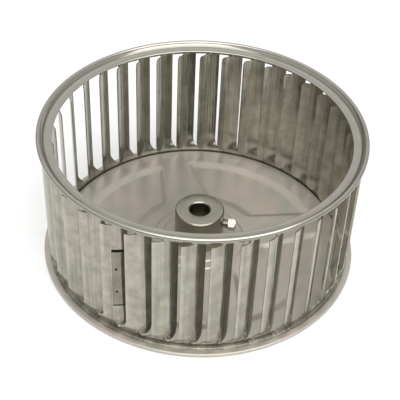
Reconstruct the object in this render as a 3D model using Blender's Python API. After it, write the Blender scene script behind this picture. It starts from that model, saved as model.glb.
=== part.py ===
"""Forward-curved blower wheel of galvanised sheet steel, standing on its back plate.

The frame has its origin on the wheel's axis at the face it stands on. +Z runs along the
axis to the open inlet. All sizes are in metres.
"""
import math

import bmesh
import bpy
from mathutils import Matrix, Vector

MM = 0.001

# Driving sizes of the wheel
RIM_RADIUS = 121.0 * MM          # outside of the rolled inlet rim
WHEEL_HEIGHT = 112.5 * MM        # underside of the crimp to the top of the rim
FLANGE_RADIUS = 122.2 * MM       # outside of the crimp around the back plate
SHEET = 0.7 * MM                 # blade strip
PLATE_SHEET = 0.8 * MM           # back plate
GAP = 0.3 * MM                   # clearance between pieces that touch on the real wheel
RING_STEPS = 64                  # facets around the wheel

# Blade strip: two border bands and the blades lanced between them
BLADE_COUNT = 38
BAND_RADIUS = 114.3 * MM         # middle of the strip's sheet
BLADE_TIP_RADIUS = 118.0 * MM
BLADE_CHORD = 18.05 * MM
BLADE_CHORD_ANGLE = math.radians(33.8)   # between the chord and the tangent at the tip
BLADE_TURN = math.radians(30.0)          # how far the blade's arc turns, tip to inner edge
FIRST_TIP_ANGLE = math.radians(-95.3)
BLADE_FOOT = 6.0 * MM            # top of the lower border band
BLADE_HEAD = 103.5 * MM          # underside of the upper border band
NECK_RISE = 7.0 * MM             # height over which a blade turns out of its band
ARC_POINTS = 4

# Inlet rim
RIM_RING_RADII = (109.5 * MM, 115.4 * MM)   # inner edge of its flat ring, and foot of the step
RIM_RING_LEVEL = 108.4 * MM      # upper face of the flat ring
BEAD_RADIUS = 1.7 * MM

# Back plate levels, measured to the upper face of its sheet
RING_LEVEL = 3.2 * MM            # outer ring, spokes and the disc between them
STEP_RISE = 0.8 * MM             # each of the two steps up to the hub
POCKET_DEPTH = 2.0 * MM
POCKET_OUTER = (91.2 * MM, 97.8 * MM)    # foot and top of the pocket's outer slope
POCKET_INNER = (53.5 * MM, 46.0 * MM)    # foot and top of its inner slope
SPOKE_ANGLES = [math.radians(a) for a in (14.0, 104.0, 194.0, 284.0)]
SPOKE_HALF_AT_INNER = 16.4 * MM
SPOKE_HALF_AT_OUTER = 11.3 * MM
SPOKE_SLOPE = 8.0 * MM

# Hub and its square-head set screw
BORE_RADIUS = 7.94 * MM
HUB_RADIUS = 19.2 * MM
HUB_TOP = 33.3 * MM
SPIGOT_RADIUS = 13.0 * MM
STAKE_RADIUS = 15.6 * MM
STAKE_DEPTH = 1.3 * MM
HUB_CHAMFER = 0.8 * MM
SCREW_HEIGHT = 20.6 * MM
SCREW_ANGLE = math.radians(-5.0)
SCREW_RADIUS = 3.65 * MM
SCREW_HOLE_RADIUS = 4.0 * MM
SCREW_TIP = 9.4 * MM
SCREW_HEAD_START = 23.0 * MM
SCREW_HEAD_LENGTH = 6.0 * MM
SCREW_HEAD_FLATS = 8.0 * MM
SCREW_HEAD_ROLL = math.radians(28.0)
SCREW_SIDES = 24

# Lap joint that closes the strip into a ring
LAP_BLADE = 35
LAP_WINDOW_Z = (26.2 * MM, 81.0 * MM)    # notch in the blade through which the tongue shows
LAP_WINDOW_START = 0.41          # share of the blade's arc at which the notch begins
LAP_TAB_Z = (23.2 * MM, 77.3 * MM)       # the tongue ends below the notch's top: a slot is left
LAP_TAB_START = 0.32             # shares of the arc that the tongue behind it covers
LAP_TAB_END = 0.97


def clear_scene():
    for item in list(bpy.data.objects):
        bpy.data.objects.remove(item, do_unlink=True)


def metal(name, colour, roughness):
    material = bpy.data.materials.new(name)
    material.use_nodes = True
    shader = material.node_tree.nodes["Principled BSDF"]
    shader.inputs["Base Color"].default_value = (*colour, 1.0)
    shader.inputs["Metallic"].default_value = 1.0
    shader.inputs["Roughness"].default_value = roughness
    return material


def add_object(name, mesh_data, material, sharp_angle=35.0):
    """Turn a finished bmesh into a named object with outward faces and its material."""
    bmesh.ops.recalc_face_normals(mesh_data, faces=mesh_data.faces)
    mesh = bpy.data.meshes.new(name)
    mesh_data.to_mesh(mesh)
    mesh_data.free()
    mesh.materials.append(material)
    mesh.shade_smooth()
    mesh.set_sharp_from_angle(angle=math.radians(sharp_angle))
    item = bpy.data.objects.new(name, mesh)
    bpy.context.collection.objects.link(item)
    return item


def spun(profile, steps):
    """Spin a closed (radius, height) outline once around Z."""
    shape = bmesh.new()
    points = [shape.verts.new((radius, 0.0, height)) for radius, height in profile]
    edges = [shape.edges.new((a, b)) for a, b in zip(points, points[1:] + points[:1])]
    bmesh.ops.spin(shape, geom=points + edges, cent=(0, 0, 0), axis=(0, 0, 1),
                   angle=math.tau, steps=steps, use_merge=True)
    bmesh.ops.remove_doubles(shape, verts=shape.verts, dist=0.00001)
    return shape


def sheet_profile(line, thickness):
    """Outline of a sheet of the given thickness that lies under a (radius, height) line."""
    under = []
    for i, (radius, height) in enumerate(line):
        before = Vector(line[max(i - 1, 0)])
        after = Vector(line[min(i + 1, len(line) - 1)])
        run = (after - before).normalized()
        under.append((radius + run.y * thickness, height - run.x * thickness))
    return line + under[::-1]


def make_inlet_rim(material):
    """End ring: a flat ring over the blades' heads that steps up into a rolled outer bead."""
    middle = Vector((RIM_RADIUS - BEAD_RADIUS, WHEEL_HEIGHT - BEAD_RADIUS))
    line = [(radius, RIM_RING_LEVEL) for radius in RIM_RING_RADII]
    for degrees in range(180, -91, -45):
        angle = math.radians(degrees)
        line.append(tuple(middle + BEAD_RADIUS * Vector((math.cos(angle), math.sin(angle)))))
    profile = sheet_profile(line, SHEET)
    return add_object("inlet_rim", spun(profile, RING_STEPS), material)


def make_upper_band(material):
    """Plain border of the strip, from the blades' heads up to the rim's flat ring."""
    inner, outer = BAND_RADIUS - SHEET / 2, BAND_RADIUS + SHEET / 2
    top = RIM_RING_LEVEL - SHEET - GAP
    profile = [(inner, BLADE_HEAD), (outer, BLADE_HEAD), (outer, top), (inner, top)]
    return add_object("upper_border_band", spun(profile, RING_STEPS), material)


def make_lower_band(material):
    """Lower border of the strip, its lip turned out into the crimp."""
    inner, outer = BAND_RADIUS - SHEET / 2, BAND_RADIUS + SHEET / 2
    low = PLATE_SHEET + GAP
    lip_edge = FLANGE_RADIUS - PLATE_SHEET - GAP
    profile = [
        (inner, BLADE_FOOT), (inner, low), (lip_edge, low), (lip_edge, low + SHEET),
        (outer, low + SHEET), (outer, BLADE_FOOT),
    ]
    return add_object("lower_border_band", spun(profile, RING_STEPS), material)


def ramp(value, start, end):
    """0 at start, 1 at end and beyond, with a straight slope between them."""
    return min(1.0, max(0.0, (value - start) / (end - start)))


def pocket_share(x, y):
    """1 on a pocket's floor, 0 on the ring, the spokes and the centre disc."""
    radius = math.hypot(x, y)
    share = min(ramp(radius, POCKET_OUTER[1], POCKET_OUTER[0]),
                ramp(radius, POCKET_INNER[1], POCKET_INNER[0]))
    along = ramp(radius, POCKET_INNER[0], POCKET_OUTER[0])
    half = SPOKE_HALF_AT_INNER + (SPOKE_HALF_AT_OUTER - SPOKE_HALF_AT_INNER) * along
    for angle in SPOKE_ANGLES:
        forward = x * math.cos(angle) + y * math.sin(angle)
        sideways = abs(y * math.cos(angle) - x * math.sin(angle))
        if forward > 0:
            share = min(share, ramp(sideways, half, half + SPOKE_SLOPE))
    return share


def make_back_plate(material):
    """Pressed plate: stepped centre, four pockets, and a hem closed over the strip's lip."""
    ring, step, sheet = RING_LEVEL, STEP_RISE, PLATE_SHEET
    under_strip = BAND_RADIUS - SHEET / 2 - GAP
    edge = FLANGE_RADIUS
    hem_low = sheet + GAP + SHEET + GAP
    middle = (POCKET_INNER[0] + POCKET_OUTER[0]) / 2
    top_side = [
        (SPIGOT_RADIUS + GAP, ring + 2 * step),
        (28.4 * MM, ring + 2 * step), (29.4 * MM, ring + step),
        (35.6 * MM, ring + step), (36.6 * MM, ring),
        (POCKET_INNER[1], ring), (POCKET_INNER[0], ring), (middle, ring),
        (POCKET_OUTER[0], ring), (POCKET_OUTER[1], ring),
        (under_strip - 1.1 * MM, ring), (under_strip, sheet),
    ]
    hem = [
        (edge - sheet, sheet), (edge - sheet, hem_low), (edge - 4.4 * MM, hem_low),
        (edge - 4.4 * MM, hem_low + sheet), (edge - 0.4 * MM, hem_low + sheet),
        (edge, hem_low + sheet - 0.4 * MM), (edge, 0.4 * MM), (edge - 0.4 * MM, 0.0),
    ]
    under_side = [(under_strip - 0.7 * MM, 0.0), (under_strip - 1.8 * MM, ring - sheet)]
    under_side += [(radius, height - sheet) for radius, height in top_side[9::-1]]
    shape = spun(top_side + hem + under_side, RING_STEPS)
    for vert in shape.verts:
        vert.co.z -= POCKET_DEPTH * pocket_share(vert.co.x, vert.co.y)
    return add_object("back_plate", shape, material, 20.0)


def make_hub(material):
    """Turned hub staked through the plate, with its cross hole for the set screw."""
    seat = RING_LEVEL + 2 * STEP_RISE + GAP
    stake_top = seat - 2 * GAP - PLATE_SHEET
    stake_low = stake_top - STAKE_DEPTH
    profile = [
        (BORE_RADIUS, stake_low), (STAKE_RADIUS, stake_low), (STAKE_RADIUS, stake_top),
        (SPIGOT_RADIUS, stake_top), (SPIGOT_RADIUS, seat), (HUB_RADIUS, seat),
        (HUB_RADIUS, HUB_TOP - HUB_CHAMFER), (HUB_RADIUS - HUB_CHAMFER, HUB_TOP),
        (BORE_RADIUS + HUB_CHAMFER, HUB_TOP), (BORE_RADIUS, HUB_TOP - HUB_CHAMFER),
    ]
    hub = add_object("hub", spun(profile, 40), material)
    cutter = add_object("set_screw_hole", bar_along_x(SCREW_HOLE_RADIUS, 4.0 * MM, 24.0 * MM),
                        material)
    place_on_screw_axis(cutter)
    cutter.hide_render = True
    cutter.display_type = "WIRE"
    cut = hub.modifiers.new("set_screw_hole", "BOOLEAN")
    cut.operation = "DIFFERENCE"
    cut.object = cutter
    return hub


def bar_along_x(radius, start, end, sides=20):
    shape = bmesh.new()
    place = Matrix.Translation(((start + end) / 2, 0, 0)) @ Matrix.Rotation(math.pi / 2, 4, "Y")
    bmesh.ops.create_cone(shape, cap_ends=True, segments=sides, radius1=radius,
                          radius2=radius, depth=end - start, matrix=place)
    return shape


def place_on_screw_axis(item):
    """Local +X becomes the screw's axis, pointing out of the hub."""
    item.location = (0.0, 0.0, SCREW_HEIGHT)
    item.rotation_euler = (0.0, 0.0, SCREW_ANGLE)


def make_set_screw(material):
    """Square-head set screw, backed out as it stands in the hub."""
    head_end = SCREW_HEAD_START + SCREW_HEAD_LENGTH
    half = SCREW_HEAD_FLATS / 2
    stations = [
        (SCREW_TIP, SCREW_RADIUS * 0.8, False), (SCREW_TIP + 0.8 * MM, SCREW_RADIUS, False),
        (SCREW_HEAD_START, SCREW_RADIUS, False), (SCREW_HEAD_START, half, True),
        (head_end - 0.8 * MM, half, True), (head_end, half * 0.95, False),
    ]
    shape = bmesh.new()
    loops = []
    for along, reach, square in stations:
        loop = []
        for step in range(SCREW_SIDES):
            angle = math.tau * step / SCREW_SIDES
            flat = max(abs(math.cos(angle)), abs(math.sin(angle))) if square else 1.0
            turned = angle + SCREW_HEAD_ROLL
            point = (along, reach / flat * math.cos(turned), reach / flat * math.sin(turned))
            loop.append(shape.verts.new(point))
        loops.append(loop)
    for lower, upper in zip(loops, loops[1:]):
        for i in range(SCREW_SIDES):
            j = (i + 1) % SCREW_SIDES
            shape.faces.new((lower[i], lower[j], upper[j], upper[i]))
    shape.faces.new(loops[0])
    shape.faces.new(loops[-1])
    screw = add_object("set_screw", shape, material)
    place_on_screw_axis(screw)
    return screw


def blade_point(share):
    """Middle of a blade's sheet as (along the tangent, inwards, direction)."""
    radius = BLADE_CHORD / (2 * math.sin(BLADE_TURN / 2))
    start = BLADE_CHORD_ANGLE - BLADE_TURN / 2
    angle = start + BLADE_TURN * share
    along = radius * (math.sin(angle) - math.sin(start))
    inward = radius * (math.cos(start) - math.cos(angle))
    return along, inward, angle


def neck_share():
    """Share of the arc at which the blade crosses the band's radius."""
    depth = BLADE_TIP_RADIUS - BAND_RADIUS
    low, high = 0.0, 1.0
    for _ in range(30):
        share = (low + high) / 2
        if blade_point(share)[1] < depth:
            low = share
        else:
            high = share
    return share


def strip_point(share, twist, side, tip_angle):
    """Point on one face of the sheet. twist 0 lies flat in the band, 1 is the full blade."""
    along, inward, angle = blade_point(share)
    radius = BLADE_TIP_RADIUS - inward
    blade = Vector((along + math.sin(angle) * side, radius + math.cos(angle) * side))
    neck = neck_share()
    arc = BLADE_TURN * BLADE_CHORD / (2 * math.sin(BLADE_TURN / 2))
    turn = (blade_point(neck)[0] + (share - neck) * arc) / BAND_RADIUS
    flat = Vector((math.sin(turn), math.cos(turn))) * (BAND_RADIUS + side)
    place = flat.lerp(blade, twist)
    outward = Vector((math.cos(tip_angle), math.sin(tip_angle)))
    tangent = Vector((-outward.y, outward.x))
    return outward * place.y + tangent * place.x


def blade_sections():
    """(height, twist, share at the tip side, share at the inner side) up the blade."""
    low, high = BLADE_FOOT + GAP, BLADE_HEAD - GAP
    foot = [(0.0, 0.0, 0.12, 0.80), (0.4, 0.6, 0.02, 0.93), (1.0, 1.0, 0.0, 1.0)]
    sections = [(low + rise * NECK_RISE, twist, a, b) for rise, twist, a, b in foot]
    sections += [(high - rise * NECK_RISE, twist, a, b) for rise, twist, a, b in foot[::-1]]
    return sections


def make_sheet_loft(name, sections, tip_angle, near, far, material):
    """Close a thin loft between the faces at offsets near and far from the sheet's middle."""
    shape = bmesh.new()
    loops = []
    for height, twist, first, last in sections:
        shares = [first + (last - first) * i / (ARC_POINTS - 1) for i in range(ARC_POINTS)]
        outline = [strip_point(s, twist, far, tip_angle) for s in shares]
        outline += [strip_point(s, twist, near, tip_angle) for s in shares[::-1]]
        loops.append([shape.verts.new((p.x, p.y, height)) for p in outline])
    count = len(loops[0])
    for lower, upper in zip(loops, loops[1:]):
        for i in range(count):
            j = (i + 1) % count
            shape.faces.new((lower[i], lower[j], upper[j], upper[i]))
    for loop in (loops[0], loops[-1]):
        for i in range(ARC_POINTS - 1):
            shape.faces.new((loop[i], loop[i + 1], loop[-2 - i], loop[-1 - i]))
    return add_object(name, shape, material)


def blade_tip_angle(index):
    return FIRST_TIP_ANGLE + math.tau * index / BLADE_COUNT


def make_blades(material):
    return [make_sheet_loft(f"blade_{index + 1:02d}", blade_sections(), blade_tip_angle(index),
                            -SHEET / 2, SHEET / 2, material)
            for index in range(BLADE_COUNT)]


def make_lap_joint(blade, material):
    """Notch in one blade, and the tongue at the strip's other end clinched behind it."""
    tip_angle = blade_tip_angle(LAP_BLADE)
    window = [(height, 1.0, LAP_WINDOW_START, 1.1) for height in LAP_WINDOW_Z]
    cutter = make_sheet_loft("lap_window", window, tip_angle, -SHEET, SHEET, material)
    cutter.hide_render = True
    cutter.display_type = "WIRE"
    cut = blade.modifiers.new("lap_window", "BOOLEAN")
    cut.operation = "DIFFERENCE"
    cut.object = cutter
    tongue = [(height, 1.0, LAP_TAB_START, LAP_TAB_END) for height in LAP_TAB_Z]
    near = -SHEET / 2 - GAP
    return make_sheet_loft("lap_joint_tab", tongue, tip_angle, near - SHEET, near, material)


def main():
    clear_scene()
    galvanised = metal("galvanised_strip", (0.62, 0.61, 0.56), 0.34)
    rim_steel = metal("galvanised_rim", (0.70, 0.69, 0.66), 0.26)
    plate_steel = metal("galvanised_plate", (0.63, 0.60, 0.57), 0.32)
    turned = metal("turned_steel", (0.42, 0.41, 0.38), 0.30)
    plated = metal("zinc_plated_screw", (0.66, 0.65, 0.58), 0.25)
    make_inlet_rim(rim_steel)
    make_upper_band(galvanised)
    make_lower_band(galvanised)
    blades = make_blades(galvanised)
    make_lap_joint(blades[LAP_BLADE], galvanised)
    make_back_plate(plate_steel)
    make_hub(turned)
    make_set_screw(plated)


main()
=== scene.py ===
# %% [markdown]
# # A forward-curved blower wheel, dressed around its imported frame
#
# The object is the wheel of a small centrifugal blower: one strip of galvanised steel whose
# blades are cut and twisted out of the sheet, a rolled ring at the open inlet, a pressed back
# plate crimped round the strip's foot, and a turned hub held on its shaft by a square-head set
# screw. The imported model gives every size. This script gives each sub-part the shape, edges
# and finish that the real one has.
#
# The frame is loaded first, and each of its nodes is kept as a mesh in place, so that later
# cells can read sizes from it and hide what they replace.

# %% Load the frame
import math

import bmesh
import bpy
from mathutils import Matrix, Vector


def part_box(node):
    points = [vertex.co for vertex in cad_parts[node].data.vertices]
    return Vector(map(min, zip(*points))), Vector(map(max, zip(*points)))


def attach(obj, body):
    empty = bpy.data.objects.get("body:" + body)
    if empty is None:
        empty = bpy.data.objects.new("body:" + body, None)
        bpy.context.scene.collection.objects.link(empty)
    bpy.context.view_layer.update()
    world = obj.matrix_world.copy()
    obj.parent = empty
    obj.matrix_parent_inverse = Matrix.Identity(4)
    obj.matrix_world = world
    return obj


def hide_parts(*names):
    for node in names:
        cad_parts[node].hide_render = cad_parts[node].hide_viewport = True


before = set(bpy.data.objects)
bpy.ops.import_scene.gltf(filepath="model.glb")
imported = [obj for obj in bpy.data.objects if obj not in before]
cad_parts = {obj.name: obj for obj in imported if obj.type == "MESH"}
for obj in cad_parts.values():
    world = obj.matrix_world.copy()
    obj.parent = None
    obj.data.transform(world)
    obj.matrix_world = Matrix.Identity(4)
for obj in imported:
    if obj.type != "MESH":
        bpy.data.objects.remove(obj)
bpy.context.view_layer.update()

MM = 0.001
print("nodes in the frame:", len(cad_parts))

# %% [markdown]
# ## Sizes
#
# Lengths are in metres. Whatever the frame can tell is read from it: radii and heights come
# from the boxes of its nodes, and the number of blades is the number of nodes named for one.
# The rest are the wheel's own workshop sizes, such as the thickness of its sheet.

# %% Read the wheel's sizes
blade_nodes = sorted(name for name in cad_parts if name.startswith("blade_"))
BLADE_COUNT = len(blade_nodes)
PITCH = math.tau / BLADE_COUNT
RIM_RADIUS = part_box("inlet_rim")[1].x
WHEEL_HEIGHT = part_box("inlet_rim")[1].z
FLANGE_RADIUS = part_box("back_plate")[1].x
HUB_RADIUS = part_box("hub")[1].x
HUB_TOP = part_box("hub")[1].z
STRIP_SHEET = 0.7 * MM
PLATE_SHEET = 0.8 * MM
CLEARANCE = 0.3 * MM
BAND_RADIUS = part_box("upper_border_band")[1].x - STRIP_SHEET / 2
print(f"{BLADE_COUNT} blades on a {2 * RIM_RADIUS / MM:.1f} mm rim, {WHEEL_HEIGHT / MM:.1f} mm high")

# %% [markdown]
# ## The camera
#
# The wheel stands on its back plate and is seen from about 40 degrees above, from a little
# over six wheel radii away. The camera comes early, because each later piece is judged
# through it. It looks along +Y and down, and is rolled by two and a half degrees. Its axes
# are written out as the columns of a matrix, so nothing has to aim it afterwards.

# %% Place the camera
VIEW_ELEVATION = math.radians(40.59)
VIEW_ROLL = math.radians(2.45)
VIEW_DISTANCE = 6.19 * RIM_RADIUS
VIEW_TARGET = Vector((-0.0009, 0.0, 0.351)) * RIM_RADIUS
FOCAL_PIXELS = 967.0
IMAGE_PIXELS = 400.0


def place_camera():
    backward = Vector((0.0, -math.cos(VIEW_ELEVATION), math.sin(VIEW_ELEVATION)))
    level_up = Vector((0.0, math.sin(VIEW_ELEVATION), math.cos(VIEW_ELEVATION)))
    level_right = Vector((1.0, 0.0, 0.0))
    right = level_right * math.cos(VIEW_ROLL) + level_up * math.sin(VIEW_ROLL)
    up = level_up * math.cos(VIEW_ROLL) - level_right * math.sin(VIEW_ROLL)
    axes = Matrix((right, up, backward)).transposed()
    lens = bpy.data.cameras.new("camera")
    lens.sensor_width = 36.0
    lens.lens = lens.sensor_width * FOCAL_PIXELS / IMAGE_PIXELS
    camera = bpy.data.objects.new("camera", lens)
    camera.matrix_world = Matrix.Translation(VIEW_TARGET + backward * VIEW_DISTANCE) @ axes.to_4x4()
    bpy.context.scene.collection.objects.link(camera)
    bpy.context.scene.camera = camera
    return camera


camera = place_camera()
print("camera at", [round(value, 3) for value in camera.matrix_world.translation])

# %% [markdown]
# ## Three helpers for finishes
#
# Paint and metal colours are easiest to name in the hex form that screens use, but a shader
# works in linear light, so one function turns the first into the second. Another adds a node
# with its settings and links in one call. The third starts a material: every finish on this
# wheel is bare metal, so it sets metallic to 1. A finish that is dulled by matt zinc oxide or
# by grime lowers it again.


# %% Colour, node and material helpers
def linear(hex_colour):
    """sRGB hex such as "A6A39A" as a linear colour with alpha."""
    channels = [int(hex_colour[i:i + 2], 16) / 255 for i in (0, 2, 4)]
    return tuple(c / 12.92 if c <= 0.04045 else ((c + 0.055) / 1.055) ** 2.4
                 for c in channels) + (1.0,)


def add_node(tree, kind, inputs=None, **settings):
    """Add a node, set its properties, and set or link its inputs by name or number."""
    node = tree.nodes.new(kind)
    for name, value in settings.items():
        setattr(node, name, value)
    for socket, value in (inputs or {}).items():
        if isinstance(value, bpy.types.NodeSocket):
            tree.links.new(value, node.inputs[socket])
        else:
            node.inputs[socket].default_value = value
    return node


def bare_metal(name):
    """A metallic material. Returns it with its node tree, shader and object coordinates."""
    material = bpy.data.materials.new(name)
    material.use_nodes = True
    tree = material.node_tree
    shader = tree.nodes["Principled BSDF"]
    shader.inputs["Metallic"].default_value = 1.0
    place = add_node(tree, "ShaderNodeTexCoord").outputs["Object"]
    return material, tree, shader, place


print("a mid grey of 808080 is", round(linear("808080")[0], 3), "in linear light")

# %% [markdown]
# ## Galvanised strip
#
# The blades are hot-dip galvanised sheet: steel drawn through molten zinc and wiped by air.
# The zinc freezes in grains a centimetre or so across, which a light rolling then flattens, so
# the eye sees a satin grey with soft cloudy patches, a few darker specks, and fine streaks
# that the forming tools drew along the blades.
#
# A Noise texture at grain size clouds the colour. A second one, drawn out along the height,
# gives the streaks, which darken the metal a little and are also its relief, so that they show
# most where the metal reflects something uneven. A painted highlight lightens the colour near
# the blades' tip edges. The strip knows each point's share of its blade's width as an
# attribute, so the material reads that. A thin matt oxide covers the zinc, which is why
# metallic is a little under 1.
#
# The end of the strip that lies behind the lap joint is the same sheet in darker colours,
# which are painted shade for its recess behind the notch, so the function takes its two
# colours. The clinch pits and the sheet behind the slot get a black material that is painted
# shade.

# %% Make the galvanised strip finish
SPANGLE = 11 * MM        # size of the zinc's grains
SPECK = 2.2 * MM         # size of the dark specks
DRAWN_STREAK = 2.6 * MM  # real streaks are finer; this is as fine as the render can show
STREAK_SQUEEZE = 0.03    # how much the height counts in the streaks, so that they run along it
# Painted highlight: the colour lightens at each blade's tip edge and fades out over this share of
# its width.
TIP_HIGHLIGHT_SHARE = 0.2       # share of a blade's width over which the rubbing fades
# Grain of the black painted shade in the clinch pits and behind the slot.
SHADE_GRAIN = 0.4 * MM


def galvanised_strip(name, dull, bright):
    material, tree, shader, place = bare_metal(name)
    shader.inputs["Metallic"].default_value = 0.8
    clouds = add_node(tree, "ShaderNodeTexNoise", {
        "Vector": place, "Scale": 1 / SPANGLE, "Detail": 4.0, "Roughness": 0.6})
    colour = add_node(tree, "ShaderNodeValToRGB", {"Fac": clouds.outputs["Fac"]})
    colour.color_ramp.elements[0].position = 0.38
    colour.color_ramp.elements[0].color = linear(dull)
    colour.color_ramp.elements[1].position = 0.62
    colour.color_ramp.elements[1].color = linear(bright)
    specks = add_node(tree, "ShaderNodeTexNoise", {
        "Vector": place, "Scale": 1 / SPECK, "Detail": 2.0})
    speck_mask = add_node(tree, "ShaderNodeMapRange", {
        "Value": specks.outputs["Fac"], "From Min": 0.68, "From Max": 0.78, "To Max": 0.4})
    speckled = add_node(tree, "ShaderNodeMix", {
        0: speck_mask.outputs[0], 6: colour.outputs["Color"], 7: linear("76726A")},
        data_type="RGBA")
    stretched = add_node(tree, "ShaderNodeMapping", {
        "Vector": place, "Scale": (1.0, 1.0, STREAK_SQUEEZE)})
    streaks = add_node(tree, "ShaderNodeTexNoise", {
        "Vector": stretched.outputs["Vector"], "Scale": 1 / DRAWN_STREAK, "Detail": 3.0})
    streak_mask = add_node(tree, "ShaderNodeMapRange", {
        "Value": streaks.outputs["Fac"], "From Min": 0.48, "From Max": 0.66, "To Max": 0.45})
    streaked = add_node(tree, "ShaderNodeMix", {
        0: streak_mask.outputs[0], 6: speckled.outputs[2], 7: linear("747064")},
        data_type="RGBA")
    # Painted highlight: near each blade's tip edge the colour is mixed towards CFCCBE.
    width_share = add_node(tree, "ShaderNodeAttribute", attribute_name="share")
    tip_highlight = add_node(tree, "ShaderNodeMapRange", {
        "Value": width_share.outputs["Fac"], "From Min": 0.0, "From Max": TIP_HIGHLIGHT_SHARE,
        "To Min": 0.28, "To Max": 0.0})
    with_tip_highlight = add_node(tree, "ShaderNodeMix", {
        0: tip_highlight.outputs[0], 6: streaked.outputs[2], 7: linear("CFCCBE")}, data_type="RGBA")
    tree.links.new(with_tip_highlight.outputs[2], shader.inputs["Base Color"])
    satin = add_node(tree, "ShaderNodeMapRange", {
        "Value": clouds.outputs["Fac"], "From Min": 0.3, "From Max": 0.7,
        "To Min": 0.11, "To Max": 0.19})
    tree.links.new(satin.outputs[0], shader.inputs["Roughness"])
    bump = add_node(tree, "ShaderNodeBump", {
        "Height": streaks.outputs["Fac"], "Strength": 0.7, "Distance": 0.4 * MM})
    tree.links.new(bump.outputs["Normal"], shader.inputs["Normal"])
    return material


def clinch_and_slot_painted_shade():
    """Painted shade for the clinch pits and the sheet behind the slot: nearly black and dull, with a
    faint grain.
    """
    material, tree, shader, place = bare_metal("painted_shade_in_clinches_and_slot")
    shader.inputs["Metallic"].default_value = 0.0
    grain = add_node(tree, "ShaderNodeTexNoise", {"Vector": place, "Scale": 1 / SHADE_GRAIN})
    colour = add_node(tree, "ShaderNodeMix", {
        0: grain.outputs["Fac"], 6: linear("14120C"), 7: linear("26231A")}, data_type="RGBA")
    tree.links.new(colour.outputs[2], shader.inputs["Base Color"])
    shader.inputs["Roughness"].default_value = 0.7
    return material


strip_finish = galvanised_strip("galvanised_strip_steel", "928F82", "A8A599")
# Painted shade: the tongue's darker colours stand for the shade in its recess behind the notch.
tongue_shaded_finish = galvanised_strip("galvanised_strip_end_painted_shade", "7C786A", "8E8A7C")
clinch_shade_finish = clinch_and_slot_painted_shade()
print("made", strip_finish.name, "and", tongue_shaded_finish.name, "and", clinch_shade_finish.name)

# %% [markdown]
# ## Rolled rim and pressed plate
#
# The rim is the same zinc-coated steel, but rollers have burnished it, so it is brighter, with
# fine lines that run round it. The back plate was pressed in a die from a duller sheet: its
# zinc has bloomed into larger, faintly pink and green clouds.
#
# Both patterns need to follow the wheel. The rim's lines depend on the distance from the axis,
# so a function measures it with two Vector Math nodes: one leaves the height out of the object
# coordinates, and the other takes the length of what remains. The same distance places rings of
# painted shade: one in the groove at the foot of the bead, and one on the bead's outer flank,
# darkest at its outer edge. The hub's finish will use the function again.

# %% Make the rim and plate finishes
ROLLER_LINE = 0.5 * MM
PLATE_BLOOM = 26 * MM
PLATE_GRAIN = 4 * MM
RIM_BAND = (109.0 * MM, RIM_RADIUS)
# Painted shade on the rim: each pair is a radius and how dark the painted shade is there, in the
# groove at the bead's foot and on the bead's outer flank.
RIM_PAINTED_SHADE = [(114.8 * MM, 0.0), (115.4 * MM, 0.5), (116.2 * MM, 0.5), (116.9 * MM, 0.0),
             (120.2 * MM, 0.0), (120.9 * MM, 0.4)]      # (radius, how much of it is grime)
# Painted shade at the bead's outermost edge.
OUTER_PAINTED_SHADE = 0.5


def distance_from_axis(tree, place):
    """Distance of a point from the Z axis, whatever its height."""
    flat = add_node(tree, "ShaderNodeVectorMath", {0: place, 1: (1.0, 1.0, 0.0)},
                    operation="MULTIPLY")
    return add_node(tree, "ShaderNodeVectorMath", {0: flat.outputs["Vector"]},
                    operation="LENGTH").outputs["Value"]


def rolled_rim():
    material, tree, shader, place = bare_metal("rolled_galvanised_steel")
    radius = distance_from_axis(tree, place)
    lines = add_node(tree, "ShaderNodeTexNoise", {
        "W": radius, "Scale": 1 / ROLLER_LINE, "Detail": 2.0}, noise_dimensions="1D")
    clouds = add_node(tree, "ShaderNodeTexNoise", {
        "Vector": place, "Scale": 1 / SPANGLE, "Detail": 3.0})
    colour = add_node(tree, "ShaderNodeMix", {
        0: clouds.outputs["Fac"], 6: linear("AEAAA0"), 7: linear("C0BCB2")}, data_type="RGBA")
    # Painted shade by radius: darker in the bead's groove and on its outer flank, mixed towards
    # 4E4C43.
    across = add_node(tree, "ShaderNodeMapRange", {
        "Value": radius, "From Min": RIM_BAND[0], "From Max": RIM_BAND[1]})
    painted_shade_ramp = add_node(tree, "ShaderNodeValToRGB", {"Fac": across.outputs[0]})
    painted_shade_ramp.color_ramp.elements[0].color = (0, 0, 0, 1)
    painted_shade_ramp.color_ramp.elements[1].color = (OUTER_PAINTED_SHADE, OUTER_PAINTED_SHADE, OUTER_PAINTED_SHADE, 1)
    for place_on_rim, amount in RIM_PAINTED_SHADE:
        stop = (place_on_rim - RIM_BAND[0]) / (RIM_BAND[1] - RIM_BAND[0])
        painted_shade_ramp.color_ramp.elements.new(stop).color = (amount, amount, amount, 1)
    with_painted_shade = add_node(tree, "ShaderNodeMix", {
        0: painted_shade_ramp.outputs["Color"], 6: colour.outputs[2], 7: linear("4E4C43")}, data_type="RGBA")
    tree.links.new(with_painted_shade.outputs[2], shader.inputs["Base Color"])
    satin = add_node(tree, "ShaderNodeMapRange", {
        "Value": clouds.outputs["Fac"], "To Min": 0.12, "To Max": 0.20})
    tree.links.new(satin.outputs[0], shader.inputs["Roughness"])
    bump = add_node(tree, "ShaderNodeBump", {
        "Height": lines.outputs["Fac"], "Strength": 0.2, "Distance": 0.1 * MM})
    tree.links.new(bump.outputs["Normal"], shader.inputs["Normal"])
    return material


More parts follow.
